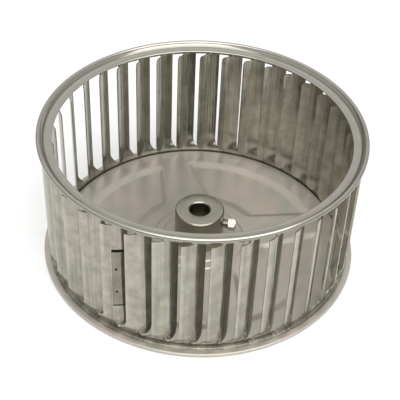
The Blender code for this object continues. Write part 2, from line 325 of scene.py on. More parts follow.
def pressed_plate():
    material, tree, shader, place = bare_metal("pressed_galvanised_steel")
    shader.inputs["Metallic"].default_value = 0.55
    bloom = add_node(tree, "ShaderNodeTexNoise", {
        "Vector": place, "Scale": 1 / PLATE_BLOOM, "Detail": 4.0, "Roughness": 0.6})
    colour = add_node(tree, "ShaderNodeValToRGB", {"Fac": bloom.outputs["Fac"]})
    colour.color_ramp.elements[0].position = 0.32
    colour.color_ramp.elements[0].color = linear("B0B0A4")
    colour.color_ramp.elements[1].position = 0.68
    colour.color_ramp.elements[1].color = linear("C4B8AF")
    tree.links.new(colour.outputs["Color"], shader.inputs["Base Color"])
    grain = add_node(tree, "ShaderNodeTexNoise", {
        "Vector": place, "Scale": 1 / PLATE_GRAIN, "Detail": 3.0})
    satin = add_node(tree, "ShaderNodeMapRange", {
        "Value": grain.outputs["Fac"], "To Min": 0.27, "To Max": 0.37})
    tree.links.new(satin.outputs[0], shader.inputs["Roughness"])
    bump = add_node(tree, "ShaderNodeBump", {
        "Height": bloom.outputs["Fac"], "Strength": 0.15, "Distance": 0.3 * MM})
    tree.links.new(bump.outputs["Normal"], shader.inputs["Normal"])
    return material


rim_finish = rolled_rim()
plate_finish = pressed_plate()
print("made", rim_finish.name, "and", plate_finish.name)

# %% [markdown]
# ## Turned hub and plated screw
#
# The hub is free-machining steel bar turned in a lathe. The tool leaves a fine spiral on the
# end face and rings down the side, and a film of oil keeps it darker than the zinc. A noise
# along the distance from the axis plus the height draws both with one pattern, because on the
# flat end only the first changes and on the side only the second.
#
# The set screw is zinc plated: smooth, bright and slightly warm.

# %% Make the turned and plated finishes
TOOL_MARK = 0.55 * MM    # a real finishing cut is nearer 0.2 mm; drawn coarse enough to show
OIL_STAIN = 6 * MM
TARNISH = 3 * MM


def turned_steel():
    material, tree, shader, place = bare_metal("turned_steel")
    radius = distance_from_axis(tree, place)
    height = add_node(tree, "ShaderNodeSeparateXYZ", {0: place}).outputs["Z"]
    along_cut = add_node(tree, "ShaderNodeMath", {0: radius, 1: height}, operation="ADD")
    marks = add_node(tree, "ShaderNodeTexNoise", {
        "W": along_cut.outputs[0], "Scale": 1 / TOOL_MARK, "Detail": 3.0},
        noise_dimensions="1D")
    stain = add_node(tree, "ShaderNodeTexNoise", {
        "Vector": place, "Scale": 1 / OIL_STAIN, "Detail": 3.0})
    colour = add_node(tree, "ShaderNodeMix", {
        0: stain.outputs["Fac"], 6: linear("9A9786"), 7: linear("AEAB9D")}, data_type="RGBA")
    tree.links.new(colour.outputs[2], shader.inputs["Base Color"])
    satin = add_node(tree, "ShaderNodeMapRange", {
        "Value": marks.outputs["Fac"], "To Min": 0.16, "To Max": 0.30})
    tree.links.new(satin.outputs[0], shader.inputs["Roughness"])
    bump = add_node(tree, "ShaderNodeBump", {
        "Height": marks.outputs["Fac"], "Strength": 0.35, "Distance": 0.05 * MM})
    tree.links.new(bump.outputs["Normal"], shader.inputs["Normal"])
    return material


def zinc_plating():
    material, tree, shader, place = bare_metal("zinc_plated_steel")
    tarnish = add_node(tree, "ShaderNodeTexNoise", {
        "Vector": place, "Scale": 1 / TARNISH, "Detail": 3.0})
    colour = add_node(tree, "ShaderNodeMix", {
        0: tarnish.outputs["Fac"], 6: linear("A8A594"), 7: linear("C0BDAE")}, data_type="RGBA")
    tree.links.new(colour.outputs[2], shader.inputs["Base Color"])
    satin = add_node(tree, "ShaderNodeMapRange", {
        "Value": tarnish.outputs["Fac"], "To Min": 0.14, "To Max": 0.26})
    tree.links.new(satin.outputs[0], shader.inputs["Roughness"])
    return material


hub_finish = turned_steel()
screw_finish = zinc_plating()
print("made", hub_finish.name, "and", screw_finish.name)

# %% [markdown]
# ## Helpers for shapes
#
# Most of this wheel was rolled or turned, so most of its sub-parts are one outline carried
# round the axis. An outline is a short list of corners, each with the radius that the rolls or
# the tool gave it. One function rounds the corners, one carries the line round the axis, and
# one makes the result an object whose edges stay crisp where the metal really turns sharply.


# %% Outline, turning and piece helpers
SHARP_DEGREES = 35.0     # an edge where two faces meet at more than this stays crisp


def rounded_line(corners, closed=False, steps=5):
    """Points of a line whose corners (across, up, radius) are rounded with short arcs."""
    points = []
    count = len(corners)
    for i, (across, up, radius) in enumerate(corners):
        corner = Vector((across, up))
        if radius == 0 or (not closed and i in (0, count - 1)):
            points.append(corner)
            continue
        to_last = Vector(corners[i - 1][:2]) - corner
        to_next = Vector(corners[(i + 1) % count][:2]) - corner
        half = to_last.angle(to_next) / 2
        reach = min(radius / math.tan(half), 0.49 * to_last.length, 0.49 * to_next.length)
        start = corner + to_last.normalized() * reach
        end = corner + to_next.normalized() * reach
        middle = corner + (start - corner + end - corner).normalized() * reach / math.cos(half)
        first, last = start - middle, end - middle
        sweep = first.angle_signed(last)
        for step in range(steps + 1):
            turned = first.copy()
            turned.rotate(Matrix.Rotation(-sweep * step / steps, 2))
            points.append(middle + turned)
    return points


def carried_round(points, steps, closed=False):
    """Surface that a (radius, height) line sweeps once around the Z axis."""
    shape = bmesh.new()
    rings = []
    for step in range(steps):
        angle = math.tau * step / steps
        rings.append([shape.verts.new((p.x * math.cos(angle), p.x * math.sin(angle), p.y))
                      for p in points])
    spans = len(points) if closed else len(points) - 1
    for ring, following in zip(rings, rings[1:] + rings[:1]):
        for i in range(spans):
            j = (i + 1) % len(points)
            shape.faces.new((ring[i], following[i], following[j], ring[j]))
    return shape


def make_piece(shape, name, finish, sharp_degrees=SHARP_DEGREES):
    """Turn a bmesh into a named object at the origin with outward faces and crisp edges."""
    bmesh.ops.recalc_face_normals(shape, faces=shape.faces)
    mesh = bpy.data.meshes.new(name)
    shape.to_mesh(mesh)
    shape.free()
    mesh.materials.append(finish)
    piece = bpy.data.objects.new(name, mesh)
    bpy.context.scene.collection.objects.link(piece)
    smooth_with_edges(mesh, sharp_degrees)
    return piece


def smooth_with_edges(mesh, sharp_degrees):
    mesh.shade_smooth()
    mesh.set_sharp_from_angle(angle=math.radians(sharp_degrees))


def thicken(piece, sheet, back_material=0):
    """Give an open surface the thickness of its sheet, and make the result a plain mesh."""
    wall = piece.modifiers.new("sheet thickness", "SOLIDIFY")
    wall.thickness = sheet
    wall.offset = 0.0
    wall.material_offset = back_material   # steps from the front's material to the back's
    bake_modifiers(piece)
    smooth_with_edges(piece.data, SHARP_DEGREES)


def bake_modifiers(piece):
    graph = bpy.context.evaluated_depsgraph_get()
    baked = bpy.data.meshes.new_from_object(piece.evaluated_get(graph))
    piece.modifiers.clear()
    piece.data = baked


def triangles(piece):
    return sum(len(face.vertices) - 2 for face in piece.data.polygons)


print("a right-angled corner rounds into",
      len(rounded_line([(0, 0, 0), (1, 0, 0.2), (1, 1, 0)])) - 2, "points")

# %% [markdown]
# ## One pitch of the blade strip
#
# On the real wheel the strip starts as a flat ribbon. A press slits it at every pitch, leaves
# a border along both edges, and twists each blade about the two necks that still hold it, so
# that the tip edge stands out beyond the border and the other edge swings inwards. The ribbon
# is then rolled into a ring.
#
# The repeat is therefore one pitch: two pieces of border and one blade. It is drawn as a
# single surface through the middle of the sheet. A point on it is named by its share of the
# blade's width, from 0 at the tip edge to 1 at the inner edge, and by how far the sheet has
# twisted there, from 0 in the border to 1 in the blade.

# %% Shape of a blade
TIP_RADIUS = 118.0 * MM
CHORD = 18.05 * MM
CHORD_ANGLE = math.radians(33.8)
BLADE_TURN = math.radians(42.0)
FIRST_TIP = math.radians(-95.3)
ARC_RADIUS = CHORD / (2 * math.sin(BLADE_TURN / 2))
ARC_LENGTH = ARC_RADIUS * BLADE_TURN


def blade_section(share):
    """Distance along the tangent and inwards from the tip, and the sheet's direction."""
    start = CHORD_ANGLE - BLADE_TURN / 2
    angle = start + BLADE_TURN * share
    along = ARC_RADIUS * (math.sin(angle) - math.sin(start))
    inward = ARC_RADIUS * (math.cos(start) - math.cos(angle))
    return along, inward, angle


def share_at_depth(depth):
    """Share of the blade's width at which it lies that far inside its tip."""
    start = CHORD_ANGLE - BLADE_TURN / 2
    return (math.acos(math.cos(start) - depth / ARC_RADIUS) - start) / BLADE_TURN


def smooth_ramp(value, start, end):
    """0 at start, 1 at end, level at both."""
    t = min(1.0, max(0.0, (value - start) / (end - start)))
    return t * t * (3 - 2 * t)


NECK_SHARE = share_at_depth(TIP_RADIUS - BAND_RADIUS)


def strip_point(share, twist, outward=0.0):
    """(radial, tangential) place of the sheet for a blade whose tip is at angle 0."""
    along, inward, angle = blade_section(share)
    blade = Vector((TIP_RADIUS - inward + math.cos(angle) * outward,
                    along + math.sin(angle) * outward))
    turn = (blade_section(NECK_SHARE)[0] + (share - NECK_SHARE) * ARC_LENGTH) / BAND_RADIUS
    border = Vector((math.cos(turn), math.sin(turn))) * (BAND_RADIUS + outward)
    return border.lerp(blade, twist)


print(f"blade arc {ARC_LENGTH / MM:.2f} mm on a pitch of {PITCH * BAND_RADIUS / MM:.2f} mm, "
      f"twisted about {NECK_SHARE:.2f} of its width")

# %% [markdown]
# Heads and feet differ. At the head the press has slit the sheet on both sides of the neck, so
# the blade's upper corners stand free. From the front a dark triangle shows above each free
# corner on the tip side, and the one on the inner side is rounded. At the foot only the inner
# side is slit. On the tip side the sheet was drawn out of the border instead, which leaves a
# sloping web that catches the light. The slit curves up there, so what it takes off the foot of
# one blade's inner edge is left as a wide fillet at the foot of the next blade's tip edge.
#
# The grid's columns follow that: some before the neck, some in it and some after it. Its rows
# crowd together at both ends of a blade and bend round its free corners. A border starts at the
# fillet's first column and ends where the next one starts, so that the repeat can weld them
# all. Its foot turns outwards into a lip, which the back plate's crimp will close over.

# %% Sizes of the necks, corners and border
FOOT = 6.0 * MM                       # top of the lower border
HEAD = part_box("upper_border_band")[0].z
BORDER_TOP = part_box("upper_border_band")[1].z
NECK = (0.35, 0.65)                   # shares of the width between which the sheet isn't slit
HEAD_RISE = 2.4 * MM                  # height over which a neck turns out of the upper border
FOOT_RISE = 5.5 * MM                  # the same at the lower border
WEB_RISE = 9.0 * MM                   # the same for the web at the foot of the tip edge
SLIT = 0.5 * MM                       # height of a slit
HEAD_CORNER = (2.4 * MM, 2.4 * MM)    # width and height of the round inner corner at the head
FOOT_CORNER = (6.0 * MM, 8.5 * MM)    # the same at the foot, and of the fillet left by it
END_PART = 12.5 * MM                  # height of the crowded rows at each end of a blade
END_ROWS = 12
COLUMNS = (5, 6, 8)                   # before, in and after the neck
LAP_WINDOW = (26.2 * MM, 81.0 * MM)   # heights of the notch for the lap joint, made later
LIP_HEIGHT = PLATE_SHEET + CLEARANCE + STRIP_SHEET / 2
LIP_RADIUS = FLANGE_RADIUS - PLATE_SHEET - 2 * CLEARANCE


def spread(first, last, count):
    return [first + (last - first) * i / (count - 1) for i in range(count)]


def corner_bite(distance, reach, depth):
    """What an oval corner takes off one edge, at a distance within its reach along the other."""
    left = max(0.0, 1.0 - distance / reach)
    return depth * (1.0 - math.sqrt(1.0 - left ** 2))


def blade_shares(rise, at_foot):
    """Shares of the columns from the tip edge to the inner edge, with the fillet at the foot."""
    width, height = FOOT_CORNER
    first = -corner_bite(rise, height, width) / ARC_LENGTH if at_foot else 0.0
    return (spread(first, NECK[0], COLUMNS[0] + 1)[:-1] + spread(*NECK, COLUMNS[1])
            + spread(NECK[1], 1.0, COLUMNS[2] + 1)[1:])


def twist_at(share, rise, at_foot):
    """0 on the border, 1 on the blade. Free corners turn at once, necks and webs by and by."""
    neck_rise = FOOT_RISE if at_foot else HEAD_RISE
    if at_foot and share < NECK_SHARE:
        away = min(1.0, 1.0 - share / NECK_SHARE)
        full_rise = neck_rise + (WEB_RISE - neck_rise) * away
    else:
        slit_side = NECK[1] if share > NECK_SHARE else NECK[0]
        away = smooth_ramp(share, NECK_SHARE, slit_side)
        full_rise = neck_rise + (SLIT - neck_rise) * away
    return smooth_ramp(rise, 0.0, full_rise)


def border_rows():
    """(extra radius, height) of the rows below the blades, from the lip's edge upwards."""
    corners = [(LIP_RADIUS - BAND_RADIUS, LIP_HEIGHT, 0), (0.0, LIP_HEIGHT, 0.8 * MM),
               (0.0, FOOT, 0)]
    return [(point.x, point.y) for point in rounded_line(corners, steps=4)]


def border_shares():
    """Shares of the border's columns, from the start of one fillet to the start of the next."""
    joined = blade_shares(0.0, True)[:COLUMNS[0] + COLUMNS[1]]
    return joined + [joined[0] + PITCH * BAND_RADIUS / ARC_LENGTH]


print("columns of the border over one pitch:", len(border_shares()))

# %% Draw one pitch
def add_row(shape, points):
    """Add a row of the grid. Each point is (share, twist, outward, height)."""
    share_layer = shape.verts.layers.float["share"]
    row = []
    for share, twist, outward, height in points:
        across = strip_point(share, twist, outward)
        vert = shape.verts.new((across.x, across.y, height))
        vert[share_layer] = share
        row.append(vert)
    return row


def join_rows(shape, lower, upper, first=0, last=None):
    last = len(lower) - 1 if last is None else last
    for i in range(first, last):
        shape.faces.new((lower[i], lower[i + 1], upper[i + 1], upper[i]))


def end_rows(shape, at_foot):
    """Rows of one end of a blade, from the neck's end inwards, joined to each other."""
    edge, way, corner = (FOOT, 1, FOOT_CORNER) if at_foot else (HEAD, -1, HEAD_CORNER)
    neck_end = [(share, 0.0, 0.0, edge) for share in blade_shares(0.0, at_foot)]
    rows = [add_row(shape, neck_end)]
    for step in range(END_ROWS + 1):
        climbed = (step / END_ROWS) ** 1.5
        points = []
        for share in blade_shares(SLIT + (END_PART - SLIT) * climbed, at_foot):
            cut_edge = SLIT + corner_bite((1.0 - share) * ARC_LENGTH, *corner)
            rise = cut_edge + (END_PART - cut_edge) * climbed
            points.append((share, twist_at(share, rise, at_foot), 0.0, edge + way * rise))
        rows.append(add_row(shape, points))
    joined_from = 0 if at_foot else COLUMNS[0]
    join_rows(shape, rows[0], rows[1], joined_from, COLUMNS[0] + COLUMNS[1] - 1)
    for lower, upper in zip(rows[1:], rows[2:]):
        join_rows(shape, lower, upper)
    return rows


def one_pitch():
    """Bmesh of one pitch of the strip, with each point's share of the width kept on it."""
    shape = bmesh.new()
    shape.verts.layers.float.new("share")
    foot_rows = end_rows(shape, True)
    head_rows = end_rows(shape, False)
    middle = [LAP_WINDOW[0] / 2 + (FOOT + END_PART) / 2] + spread(*LAP_WINDOW, 7)
    last = foot_rows[-1]
    for height in middle:
        row = add_row(shape, [(share, 1.0, 0.0, height) for share in blade_shares(END_PART, True)])
        join_rows(shape, last, row)
        last = row
    join_rows(shape, last, head_rows[-1])
    low = [add_row(shape, [(share, 0.0, extra, height) for share in border_shares()])
           for extra, height in border_rows()]
    high = [add_row(shape, [(share, 0.0, 0.0, height) for share in border_shares()])
            for height in spread(HEAD, BORDER_TOP, 3)]
    for rows in (low, high):
        for lower, upper in zip(rows, rows[1:]):
            join_rows(shape, lower, upper)
    loose = [vert for vert in shape.verts if not vert.link_faces]
    bmesh.ops.delete(shape, geom=loose, context="VERTS")
    bmesh.ops.remove_doubles(shape, verts=shape.verts, dist=0.01 * MM)
    return shape


strip = make_piece(one_pitch(), "blade_strip", strip_finish)
print("one pitch has", len(strip.data.polygons), "faces")

# %% [markdown]
# ## The whole strip, with Geometry Nodes
#
# A pattern that repeats 38 times round an axis is what Geometry Nodes is for. The tree puts
# one point for each blade at the centre, sets an instance of the pitch on each point, turned
# by its own angle, and makes the instances real. Merge by Distance then welds the borders into
# two unbroken bands. Rolled sheet is never perfectly true, so the tree also moves the surface
# in and out by about a tenth of a millimetre at most. It does so with a slow noise that is
# drawn out along the blades, and the reflections wander as they do on the real wheel. The
# blade's number is stored before the instances become real, because a later cell needs to find
# one particular blade.

# %% Build the tree that repeats a pitch
WAVE_SQUEEZE = 0.15      # how much the height counts in the waves, so that they run along it


def strip_tree():
    tree = bpy.data.node_groups.new("repeat_round_axis", "GeometryNodeTree")
    sockets = tree.interface
    sockets.new_socket("Pitch", in_out="INPUT", socket_type="NodeSocketGeometry")
    sockets.new_socket("Blades", in_out="INPUT", socket_type="NodeSocketInt")
    sockets.new_socket("First tip angle", in_out="INPUT", socket_type="NodeSocketFloat")
    sockets.new_socket("Waviness", in_out="INPUT", socket_type="NodeSocketFloat")
    sockets.new_socket("Wave length", in_out="INPUT", socket_type="NodeSocketFloat")
    sockets.new_socket("Seed", in_out="INPUT", socket_type="NodeSocketFloat")
    sockets.new_socket("Finish", in_out="INPUT", socket_type="NodeSocketMaterial")
    sockets.new_socket("Strip", in_out="OUTPUT", socket_type="NodeSocketGeometry")
    given = add_node(tree, "NodeGroupInput").outputs
    number = add_node(tree, "GeometryNodeInputIndex").outputs["Index"]
    step = add_node(tree, "ShaderNodeMath", {0: math.tau, 1: given["Blades"]},
                    operation="DIVIDE").outputs[0]
    angle = add_node(tree, "ShaderNodeMath", {0: number, 1: step, 2: given["First tip angle"]},
                     operation="MULTIPLY_ADD").outputs[0]
    turn = add_node(tree, "ShaderNodeCombineXYZ", {"Z": angle}).outputs[0]
    points = add_node(tree, "GeometryNodePoints", {"Count": given["Blades"]}).outputs[0]
    placed = add_node(tree, "GeometryNodeInstanceOnPoints", {
        "Points": points, "Instance": given["Pitch"], "Rotation": turn}).outputs[0]
    numbered = add_node(tree, "GeometryNodeStoreNamedAttribute", {
        "Geometry": placed, "Name": "blade_number", "Value": number},
        data_type="FLOAT", domain="INSTANCE").outputs[0]
    real = add_node(tree, "GeometryNodeRealizeInstances", {0: numbered}).outputs[0]
    welded = add_node(tree, "GeometryNodeMergeByDistance", {
        "Geometry": real, "Distance": 0.02 * MM}).outputs[0]
    place = add_node(tree, "GeometryNodeInputPosition").outputs[0]
    flat = add_node(tree, "ShaderNodeVectorMath", {0: place, 1: (1.0, 1.0, 0.0)},
                    operation="MULTIPLY").outputs[0]
    outward = add_node(tree, "ShaderNodeVectorMath", {0: flat}, operation="NORMALIZE").outputs[0]
    often = add_node(tree, "ShaderNodeMath", {0: 1.0, 1: given["Wave length"]},
                     operation="DIVIDE").outputs[0]
    drawn_out = add_node(tree, "ShaderNodeVectorMath", {0: place, 1: (1.0, 1.0, WAVE_SQUEEZE)},
                         operation="MULTIPLY").outputs[0]
    wave = add_node(tree, "ShaderNodeTexNoise", {
        "Vector": drawn_out, "W": given["Seed"], "Scale": often, "Detail": 1.0},
        noise_dimensions="4D").outputs[0]
    swing = add_node(tree, "ShaderNodeMapRange", {
        "Value": wave, "From Min": 0.25, "From Max": 0.75, "To Min": -1.0}).outputs[0]
    amount = add_node(tree, "ShaderNodeMath", {0: swing, 1: given["Waviness"]},
                      operation="MULTIPLY").outputs[0]
    push = add_node(tree, "ShaderNodeVectorMath", {0: outward, "Scale": amount},
                    operation="SCALE").outputs[0]
    moved = add_node(tree, "GeometryNodeSetPosition", {
        "Geometry": welded, "Offset": push}).outputs[0]
    finished = add_node(tree, "GeometryNodeSetMaterial", {
        "Geometry": moved, "Material": given["Finish"]}).outputs[0]
    add_node(tree, "NodeGroupOutput", {0: finished})
    return tree


tree = strip_tree()
print("the tree has", len(tree.nodes), "nodes")

# %% Repeat the pitch round the wheel
repeat = strip.modifiers.new("repeat", "NODES")
repeat.node_group = tree
SETTINGS = {"Blades": BLADE_COUNT, "First tip angle": FIRST_TIP, "Waviness": 0.12 * MM,
            "Wave length": 38 * MM, "Seed": 7.0, "Finish": strip_finish}
for socket in tree.interface.items_tree:
    if socket.in_out == "INPUT" and socket.name in SETTINGS:
        repeat[socket.identifier] = SETTINGS[socket.name]
bake_modifiers(strip)
print("the strip has", len(strip.data.polygons), "faces before it gets its thickness")

# %% [markdown]
# ## The lap joint
#
# The strip's two ends meet at one blade near the left front. The last blade has a notch, and a
# tongue from the other end lies behind it and is clinched to it in two spots. A dark slot
# shows above the tongue, where it doesn't quite reach the notch's upper edge.
#
# The notch is cut by deleting the faces of that blade between two heights, which is why the
# grid has rows at just those heights. Above it the doubled sheet leaves a faint step. The
# tongue is a finer grid on the same curve, about a millimetre further in, and its clinches are
# small pits pushed into it. Nothing bright shows through the slot, so the sheet is taken to
# step inwards above the tongue and to run on behind the blade. The side of it that faces the
# slot, and the clinch pits, are black with painted shade.

# %% Cut the notch and make the tongue
LAP_BLADE = 35                        # counted from the first, which is number 0
NOTCH_SHARE = 0.41
TONGUE_SHARES = (0.33, 0.985)
TONGUE_HEIGHTS = (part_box("lap_joint_tab")[0].z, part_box("lap_joint_tab")[1].z)
TONGUE_DEPTH = (-1.0 * MM, -1.2 * MM)  # below the blade's middle, at its left and right edge
JOGGLE = 1.7 * MM                     # how much further in the sheet lies above the tongue
JOGGLE_LAP = 3.0 * MM                 # how far it runs on behind the notch's upper edge
CLINCH_SHARE = 0.56
CLINCH_HEIGHTS = (39.8 * MM, 61.5 * MM)
CLINCH_RADIUS = 1.15 * MM
CLINCH_PIT = 2.0 * MM


def cut_lap_notch(piece):
    shape = bmesh.new()
    shape.from_mesh(piece.data)
    share_of = shape.verts.layers.float["share"]
    number_of = shape.verts.layers.float["blade_number"]
    low, high = LAP_WINDOW
    lap_faces = [face for face in shape.faces
                 if all(abs(vert[number_of] - LAP_BLADE) < 0.5 for vert in face.verts)]
    for vert in {vert for face in lap_faces for vert in face.verts}:
        if vert[share_of] > NOTCH_SHARE + 0.03 and high < vert.co.z < HEAD - HEAD_CORNER[1]:
            outward = Vector((vert.co.x, vert.co.y, 0.0)).normalized()
            vert.co -= outward * STRIP_SHEET * 0.5
    doomed = [face for face in lap_faces
              if low < face.calc_center_median().z < high
              and sum(vert[share_of] for vert in face.verts) / len(face.verts) > NOTCH_SHARE]
    bmesh.ops.delete(shape, geom=doomed, context="FACES")
    shape.to_mesh(piece.data)
    shape.free()
    return len(doomed)


def clinch_reach(share, height):
    """Distance from the nearer clinch's centre, as a share of the clinch's radius."""
    aside = (share - CLINCH_SHARE) * ARC_LENGTH
    return min(math.hypot(aside, height - centre) for centre in CLINCH_HEIGHTS) / CLINCH_RADIUS


def lap_tongue():
    shape = bmesh.new()
    share_layer = shape.verts.layers.float.new("share")
    turn = Matrix.Rotation(FIRST_TIP + PITCH * LAP_BLADE, 3, "Z")
    shares = spread(*TONGUE_SHARES, 56)
    levels = [(height, 0.0) for height in spread(*TONGUE_HEIGHTS, 220)]
    levels += [(TONGUE_HEIGHTS[1] + 0.2 * MM, JOGGLE), (LAP_WINDOW[1] + JOGGLE_LAP, JOGGLE)]
    lower = None
    for height, further_in in levels:
        row = []
        for share in shares:
            aside = (share - shares[0]) / (shares[-1] - shares[0])
            depth = TONGUE_DEPTH[0] + (TONGUE_DEPTH[1] - TONGUE_DEPTH[0]) * aside - further_in
            pit = CLINCH_PIT * max(0.0, 1 - clinch_reach(share, height) ** 4)
            across = strip_point(share, 1.0, depth - pit)
            vert = shape.verts.new(turn @ Vector((across.x, across.y, height)))
            vert[share_layer] = share
            row.append(vert)
        for i in range(len(row) - 1 if lower else 0):
            face = shape.faces.new((lower[i], lower[i + 1], row[i + 1], row[i]))
            # Painted shade: the clinch pits and the sheet behind the slot get the black material;
            # its back keeps the strip's.
            with_painted_shade = clinch_reach(shares[i], height) < 0.9 or further_in > 0
            face.material_index = int(with_painted_shade)
        lower = row
    piece = make_piece(shape, "lap_tongue", tongue_shaded_finish)
    piece.data.materials.append(clinch_shade_finish)
    return piece


print("faces cut for the notch:", cut_lap_notch(strip))
tongue = lap_tongue()
thicken(strip, STRIP_SHEET)
thicken(tongue, STRIP_SHEET, back_material=-1)
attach(strip, "wheel")
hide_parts("upper_border_band", "lower_border_band", *blade_nodes)
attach(tongue, "wheel")
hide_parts("lap_joint_tab")
print("strip:", triangles(strip), "triangles; tongue:", triangles(tongue))

# %% [markdown]
# ## The rolled inlet rim
#
# A ring of the same sheet closes the open end. Its flat part lies over the blades' heads and
# turns down a little at its inner edge. Outside, it dips, steps up and ends in a bead curled
# over the strip. The bead stiffens the ring and is the brightest line on the wheel, because
# its round top always finds the light. The outline is a line through the middle of the sheet,
# carried round the axis. Only the bead's arc is worked out, the rest is a few corners.

# %% Roll the rim
ROUND_STEPS = 240
RING_INNER_RADIUS = 109.5 * MM
RING_STEP_RADIUS = 115.8 * MM         # where the flat ring starts to rise to the bead
BEAD_RADIUS = 1.7 * MM
BEAD_STEPS = 15


def inlet_rim():
    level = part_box("inlet_rim")[0].z + STRIP_SHEET / 2
    middle = Vector((RIM_RADIUS - BEAD_RADIUS, WHEEL_HEIGHT - BEAD_RADIUS))
    curl = BEAD_RADIUS - STRIP_SHEET / 2
    ring = rounded_line([
        (RING_INNER_RADIUS + STRIP_SHEET / 2, level - 0.7 * MM, 0),
        (RING_INNER_RADIUS + 0.5 * MM, level, 0.5 * MM),
        (RING_INNER_RADIUS + 3.0 * MM, level - 0.1 * MM, 2.0 * MM),
        (RING_STEP_RADIUS, level + 0.45 * MM, 1.2 * MM),
        (middle.x - curl, middle.y, 0)])
    bead = []
    for angle in spread(math.pi, -0.6 * math.pi, BEAD_STEPS)[1:]:
        bead.append(middle + Vector((math.cos(angle), math.sin(angle))) * curl)
    rim = make_piece(carried_round(ring + bead, ROUND_STEPS), "inlet_rim_rolled", rim_finish)
    thicken(rim, STRIP_SHEET)
    return rim


rim = inlet_rim()
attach(rim, "wheel")
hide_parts("inlet_rim")
print("rim:", triangles(rim), "triangles")

# %% [markdown]
# ## The pressed back plate
#
# The plate carries the hub, so it is pressed into a shape that won't flex: two low steps round
# the centre, four shallow pockets, and the four spokes that they leave between them. At its
# edge it drops to the foot of the strip, runs out under the strip's lip and folds back over it.
# That fold is the crimp that holds the wheel together, and the wheel stands on it.
#
# The plate starts as an outline carried round the axis with many steps. The pockets are then
# sunk into it by moving each point down by a product of ramps: one across the pocket's outer
# slope, one across its inner slope, and one away from each spoke beside it. A ramp is straight,
# with a short round bend at each end. The product rounds the pocket's corners, as a press tool
# does.

# %% Press the plate
RING_LEVEL = 3.2 * MM
STEP_RISE = 0.8 * MM
POCKET_DEPTH = 2.0 * MM
POCKET_OUTER = (97.8 * MM, 91.2 * MM)   # radii at the top and foot of the outer slope
POCKET_INNER = (46.0 * MM, 53.5 * MM)   # the same for the inner slope
SPOKE_ANGLES = [math.radians(14 + 90 * quarter) for quarter in range(4)]
SPOKE_HALF_WIDTH = (16.4 * MM, 11.3 * MM)   # at the inner and outer end
SPOKE_SLOPE = 3.6 * MM
DIE_SOFTNESS = 0.16                     # share of a slope that each of its bends takes up
BEND = 1.2 * MM                         # how far the rows of a slope run on past its ends
PLATE_STEPS = 440                       # fine enough for the narrow slopes of the spokes
SPIGOT_RADIUS = 13.3 * MM


def pressed_ramp(value, start, end):
    """0 at start, 1 at end, straight between them, with a short round bend at each."""
    def bent(t):
        if abs(t) >= DIE_SOFTNESS:
            return max(0.0, t)
        return (t + DIE_SOFTNESS) ** 2 / (4 * DIE_SOFTNESS)

    t = (value - start) / (end - start)
    return bent(t) - bent(t - 1.0)


def pocket_share(x, y):
    """1 on the floor of a pocket and 0 on everything the press left standing."""
    radius = math.hypot(x, y)
    share = pressed_ramp(radius, *POCKET_OUTER) * pressed_ramp(radius, *POCKET_INNER)
    t = (radius - POCKET_INNER[1]) / (POCKET_OUTER[1] - POCKET_INNER[1])
    half = SPOKE_HALF_WIDTH[0] + (SPOKE_HALF_WIDTH[1] - SPOKE_HALF_WIDTH[0]) * t
    for angle in SPOKE_ANGLES:
        along = x * math.cos(angle) + y * math.sin(angle)
        aside = abs(y * math.cos(angle) - x * math.sin(angle))
        if along > 0:
            share *= pressed_ramp(aside, half, half + SPOKE_SLOPE)
    return share


def plate_line():
    """Line through the middle of the plate's sheet, from the hub out and back over the lip."""
    ring = RING_LEVEL - PLATE_SHEET / 2
    floor = PLATE_SHEET / 2
    fold = (PLATE_SHEET + 2 * CLEARANCE + STRIP_SHEET + PLATE_SHEET) - PLATE_SHEET / 2
    edge = FLANGE_RADIUS - PLATE_SHEET / 2
    inside = BAND_RADIUS - STRIP_SHEET / 2 - CLEARANCE
    centre = rounded_line([
        (SPIGOT_RADIUS, ring + 2 * STEP_RISE, 0), (28.2 * MM, ring + 2 * STEP_RISE, 1.0 * MM),
        (29.6 * MM, ring + STEP_RISE, 1.0 * MM), (35.4 * MM, ring + STEP_RISE, 1.0 * MM),
        (36.8 * MM, ring, 1.0 * MM), (POCKET_INNER[0], ring, 0)])
    field = [Vector((radius, ring)) for radius in
             spread(POCKET_INNER[0], POCKET_INNER[1] + BEND, 11)[1:]
             + spread(POCKET_INNER[1] + BEND, POCKET_OUTER[1] - BEND, 18)[1:]
             + spread(POCKET_OUTER[1] - BEND, POCKET_OUTER[0] + BEND, 15)[1:]]
    crimp = rounded_line([
        (POCKET_OUTER[0] + BEND, ring, 0), (inside - 1.0 * MM, ring, 0.5 * MM),
        (inside - 0.4 * MM, floor, 0.8 * MM), (edge, floor, 1.0 * MM),
        (edge, fold, 1.0 * MM), (edge - 3.9 * MM, fold, 0)])[1:]
    return centre + field + crimp


def back_plate():
    shape = carried_round(plate_line(), PLATE_STEPS)
    for vert in shape.verts:
        vert.co.z -= POCKET_DEPTH * pocket_share(vert.co.x, vert.co.y)
    plate = make_piece(shape, "back_plate_pressed", plate_finish)
    thicken(plate, PLATE_SHEET)
    return plate


plate = back_plate()
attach(plate, "wheel")
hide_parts("back_plate")
print("plate:", triangles(plate), "triangles")

# %% [markdown]
# ## The hub
#
# The hub is a turned sleeve whose spigot passes through the plate and is staked over beneath
# it. The tool broke both edges of its face with a small chamfer, and those two chamfers give
# the bright crescents that mark the end of the hub. A cross hole takes the set screw. The
# sleeve is its outline carried round, and the hole is a Boolean with a bar on the screw's axis.

